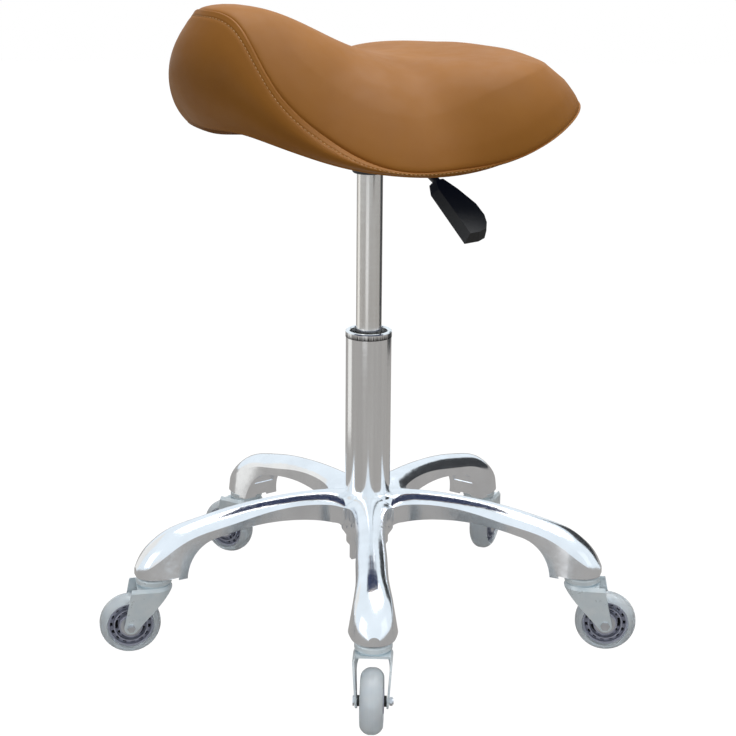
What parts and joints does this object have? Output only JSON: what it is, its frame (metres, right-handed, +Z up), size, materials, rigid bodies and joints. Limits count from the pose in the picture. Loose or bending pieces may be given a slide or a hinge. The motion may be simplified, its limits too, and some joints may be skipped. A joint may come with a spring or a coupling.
{
  "type": "saddle stool",
  "caption": "Wheeled stool with a saddle shaped padded seat on a gas lift column, a side lever and a five-legged star base on swivel casters.",
  "frame": {"origin": "on the floor under the column's axis", "axes": "+Z up along the column, -Y along the front leg; the seat's long axis is turned 31 degrees from +X"},
  "size_m": [0.5852, 0.5594, 0.6962],
  "materials": {
    "seat_leather": "smooth tan faux leather with a soft sheen",
    "foam": "moulded foam",
    "plywood": "bare plywood",
    "lining_cloth": "thin black non-woven cloth",
    "zinc_steel": "zinc plated",
    "black_steel": "black powder coat",
    "black_nylon": "matt",
    "black_plastic": "fine satin moulding",
    "ground_steel": "ground and polished",
    "black_rubber": "matt",
    "polished_tube": "polished steel",
    "clear_nylon": "smooth pale moulding",
    "black_ring": "semi gloss",
    "polished_aluminium": "polished casting",
    "zinc_plate": "bright zinc plated sheet",
    "wheel_plastic": "clear and grey moulding",
    "blue_grey_tyre": "translucent blue grey polyurethane"
  },
  "bodies": {
    "base": {"outer_tube": "polished_tube", "guide_sleeve": "clear_nylon", "column_collar": "black_ring", "bearing_seat": "zinc_steel", "star_base": "polished_aluminium", "caster_stems": "zinc_steel", "stem_washers": "black_nylon"},
    "lift_rod": {"piston": "black_nylon", "piston_rod": "ground_steel", "rubber_damper": "black_rubber", "bearing_race": "zinc_steel", "bearing_balls": "ground_steel", "rod_clip": "zinc_steel"},
    "seat": {"seat_cover": "seat_leather", "seat_foam": "foam", "seat_board": "plywood", "dust_cover": "lining_cloth", "tee_nuts": "zinc_steel", "seat_bolts": "black_steel", "mechanism_plate": "black_steel", "lever_bracket": "black_steel", "taper_cup": "black_steel", "lever_bush": "black_nylon", "stanchion": "ground_steel", "valve_block": "zinc_steel", "rod_guide": "black_nylon"},
    "lever": {"lever_rod": "black_steel", "lever_grip": "black_plastic"},
    "release": {"release_pin": "zinc_steel"},
    "caster_1": {"caster_1_head": "zinc_plate", "caster_1_fork": "zinc_plate", "caster_1_axle": "zinc_steel"},
    "wheel_1": {"caster_1_core": "wheel_plastic", "caster_1_tyre": "blue_grey_tyre", "caster_1_bearings": "zinc_steel"},
    "caster_2": {"caster_2_head": "zinc_plate", "caster_2_fork": "zinc_plate", "caster_2_axle": "zinc_steel"},
    "wheel_2": {"caster_2_core": "wheel_plastic", "caster_2_tyre": "blue_grey_tyre", "caster_2_bearings": "zinc_steel"},
    "caster_3": {"caster_3_head": "zinc_plate", "caster_3_fork": "zinc_plate", "caster_3_axle": "zinc_steel"},
    "wheel_3": {"caster_3_core": "wheel_plastic", "caster_3_tyre": "blue_grey_tyre", "caster_3_bearings": "zinc_steel"},
    "caster_4": {"caster_4_head": "zinc_plate", "caster_4_fork": "zinc_plate", "caster_4_axle": "zinc_steel"},
    "wheel_4": {"caster_4_core": "wheel_plastic", "caster_4_tyre": "blue_grey_tyre", "caster_4_bearings": "zinc_steel"},
    "caster_5": {"caster_5_head": "zinc_plate", "caster_5_fork": "zinc_plate", "caster_5_axle": "zinc_steel"},
    "wheel_5": {"caster_5_core": "wheel_plastic", "caster_5_tyre": "blue_grey_tyre", "caster_5_bearings": "zinc_steel"}
  },
  "joints": [
    {"name": "seat_swivel", "type": "hinge", "parent": "base", "child": "lift_rod", "pos_m": [0, 0, 0.0955], "axis": [0, 0, 1], "continuous": true},
    {"name": "seat_height", "type": "slide", "parent": "lift_rod", "child": "seat", "axis": [0, 0, 1], "range_m": [-0.16, 0]},
    {"name": "lever_pull", "type": "hinge", "parent": "seat", "child": "lever", "pos_m": [0.01996, -0.03322, 0.5533], "axis": [-0.8572, -0.515, 0], "range_deg": [0, 4.4], "stiffness_Nm_per_rad": 2, "springref_deg": -2.86},
    {"name": "release_press", "type": "slide", "parent": "seat", "child": "release", "axis": [0, 0, 1], "range_m": [-0.0032, 0], "stiffness_N_per_m": 300, "springref_m": 0.001},
    {"name": "caster_1_swivel", "type": "hinge", "parent": "base", "child": "caster_1", "pos_m": [0, -0.245, 0.08], "axis": [0, 0, 1], "continuous": true},
    {"name": "wheel_1_roll", "type": "hinge", "parent": "caster_1", "child": "wheel_1", "pos_m": [-0.00188, -0.27193, 0.033], "axis": [0.9976, -0.0698, 0], "continuous": true},
    {"name": "caster_2_swivel", "type": "hinge", "parent": "base", "child": "caster_2", "pos_m": [0.23301, -0.07571, 0.08], "axis": [0, 0, 1], "continuous": true},
    {"name": "wheel_2_roll", "type": "hinge", "parent": "caster_2", "child": "wheel_2", "pos_m": [0.25968, -0.07993, 0.033], "axis": [0.1564, 0.9877, 0], "continuous": true},
    {"name": "caster_3_swivel", "type": "hinge", "parent": "base", "child": "caster_3", "pos_m": [0.14401, 0.19821, 0.08], "axis": [0, 0, 1], "continuous": true},
    {"name": "wheel_3_roll", "type": "hinge", "parent": "caster_3", "child": "wheel_3", "pos_m": [0.15499, 0.22287, 0.033], "axis": [-0.9135, 0.4067, 0], "continuous": true},
    {"name": "caster_4_swivel", "type": "hinge", "parent": "base", "child": "caster_4", "pos_m": [-0.14401, 0.19821, 0.08], "axis": [0, 0, 1], "continuous": true},
    {"name": "wheel_4_roll", "type": "hinge", "parent": "caster_4", "child": "wheel_4", "pos_m": [-0.1669, 0.21252, 0.033], "axis": [-0.5299, -0.848, 0], "continuous": true},
    {"name": "caster_5_swivel", "type": "hinge", "parent": "base", "child": "caster_5", "pos_m": [-0.23301, -0.07571, 0.08], "axis": [0, 0, 1], "continuous": true},
    {"name": "wheel_5_roll", "type": "hinge", "parent": "caster_5", "child": "wheel_5", "pos_m": [-0.2596, -0.0804, 0.033], "axis": [0.1736, -0.9848, 0], "continuous": true}
  ],
  "couplings": [
    {"joint": "release_press", "follows": "lever_pull", "m_per_rad": -0.04}
  ]
}
